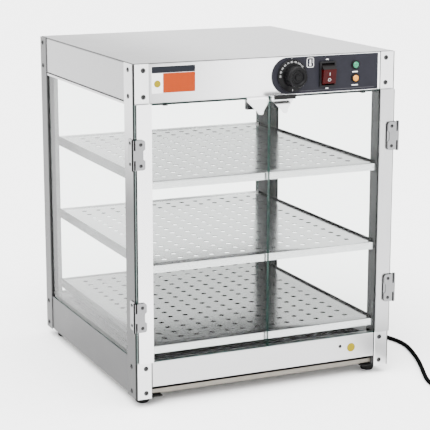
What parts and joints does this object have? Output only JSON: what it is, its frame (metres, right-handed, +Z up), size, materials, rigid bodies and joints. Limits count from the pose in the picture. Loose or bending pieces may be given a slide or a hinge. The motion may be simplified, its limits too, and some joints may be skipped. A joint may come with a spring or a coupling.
{
  "type": "hot food display case",
  "caption": "Countertop heated food display case: sheet-metal header and base, glass sides, hinged glass doors, perforated shelves, knob and rocker switch.",
  "frame": {"origin": "on the surface that the feet stand on, under the middle of the case's outer box without its cord", "axes": "+X to the right as seen from the front, +Y to the back, +Z up"},
  "size_m": [0.658, 0.7213, 0.6],
  "materials": {
    "stainless": "fine brushed",
    "polished_steel": "polished",
    "hinge_steel": "polished",
    "galvanised": "matt, galvanised",
    "heater_tube": "heat-tinted",
    "glass": "clear float glass, green at its edges",
    "charcoal_panel": "printed film, satin",
    "black_plastic": "moulded, fine grain",
    "knob_plastic": "moulded, satin",
    "red_plastic": "translucent gloss",
    "green_lens": "translucent gloss",
    "amber_lens": "translucent gloss",
    "ceramic": "glazed",
    "rubber": "matt",
    "cable": "smooth, matt"
  },
  "bodies": {
    "case": {"post_front_left": "stainless", "post_front_right": "stainless", "post_rear_left": "stainless", "post_rear_right": "stainless", "foot_front_left": "rubber", "foot_front_right": "rubber", "foot_rear_left": "rubber", "foot_rear_right": "rubber", "header_shell": "stainless", "header_underside": "stainless", "control_panel": "charcoal_panel", "thermostat": "black_plastic", "switch_housing": "black_plastic", "lamp_green": "green_lens", "lamp_amber": "amber_lens", "wiring_loom": "cable", "base_front_panel": "stainless", "base_side_panel_left": "stainless", "base_side_panel_right": "stainless", "base_rear_panel": "stainless", "deck": "polished_steel", "bottom_pan": "galvanised", "heating_element": "heater_tube", "terminal_block": "ceramic", "glass_left": "glass", "glass_right": "glass", "glass_rear": "glass", "shelf_upper": "polished_steel", "shelf_support_upper": "stainless", "shelf_middle": "polished_steel", "shelf_support_middle": "stainless", "shelf_lower": "polished_steel", "shelf_support_lower": "stainless", "door_catch_left": "black_plastic", "door_catch_right": "black_plastic", "strain_relief": "cable", "cord": "cable", "cord_coil": "cable", "cord_plug": "cable", "hinge_left_upper_frame_leaf": "hinge_steel", "hinge_left_upper_pin": "hinge_steel", "hinge_left_lower_frame_leaf": "hinge_steel", "hinge_left_lower_pin": "hinge_steel", "hinge_right_upper_frame_leaf": "hinge_steel", "hinge_right_upper_pin": "hinge_steel", "hinge_right_lower_frame_leaf": "hinge_steel", "hinge_right_lower_pin": "hinge_steel"},
    "left_door": {"door_glass_left": "glass", "door_stile_left": "stainless", "door_pull_left": "polished_steel", "hinge_left_upper_door_leaf": "hinge_steel", "hinge_left_lower_door_leaf": "hinge_steel"},
    "right_door": {"door_glass_right": "glass", "door_stile_right": "stainless", "door_pull_right": "polished_steel", "hinge_right_upper_door_leaf": "hinge_steel", "hinge_right_lower_door_leaf": "hinge_steel"},
    "knob": {"thermostat_knob": "knob_plastic"},
    "rocker": {"switch_rocker": "red_plastic"}
  },
  "joints": [
    {"name": "left_door_hinge", "type": "hinge", "parent": "case", "child": "left_door", "pos_m": [-0.254, -0.2442, 0.307], "axis": [0, 0, -1], "range_deg": [0, 240]},
    {"name": "right_door_hinge", "type": "hinge", "parent": "case", "child": "right_door", "pos_m": [0.254, -0.2442, 0.307], "axis": [0, 0, 1], "range_deg": [0, 240]},
    {"name": "thermostat_turn", "type": "hinge", "parent": "case", "child": "knob", "pos_m": [0.0445, -0.2486, 0.5655], "axis": [0, 1, 0], "range_deg": [0, 270]},
    {"name": "switch_tilt", "type": "hinge", "parent": "case", "child": "rocker", "pos_m": [0.1138, -0.2336, 0.565], "axis": [1, 0, 0], "range_deg": [0, 24]}
  ]
}
